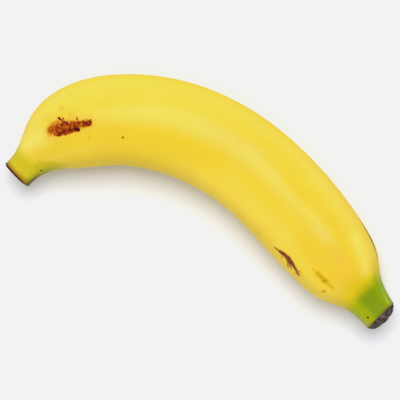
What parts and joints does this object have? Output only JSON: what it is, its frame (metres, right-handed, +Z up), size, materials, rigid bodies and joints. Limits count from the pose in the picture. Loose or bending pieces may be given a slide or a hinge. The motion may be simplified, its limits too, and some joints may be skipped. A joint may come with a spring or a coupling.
{
  "type": "banana",
  "caption": "Whole ripe banana lying on its side: a bent, softly ridged yellow fruit with a cut stalk at one end and a green neck with a dry blossom scar at the other.",
  "frame": {"origin": "on the table, under the middle of the fruit's box", "axes": "+X from the cut stalk to the blossom end, +Y towards the side that the fruit bulges to, +Z up"},
  "size_m": [0.1666, 0.0672, 0.0357],
  "materials": {
    "peel": "smooth waxy peel, satin, yellow with a green neck at the blossom end, a few brown scars",
    "dry_end": "dry dark brown skin of the blossom scar and the stalk's cut, rough and dull"
  },
  "bodies": {
    "root": {"banana": "peel"}
  },
  "joints": []
}
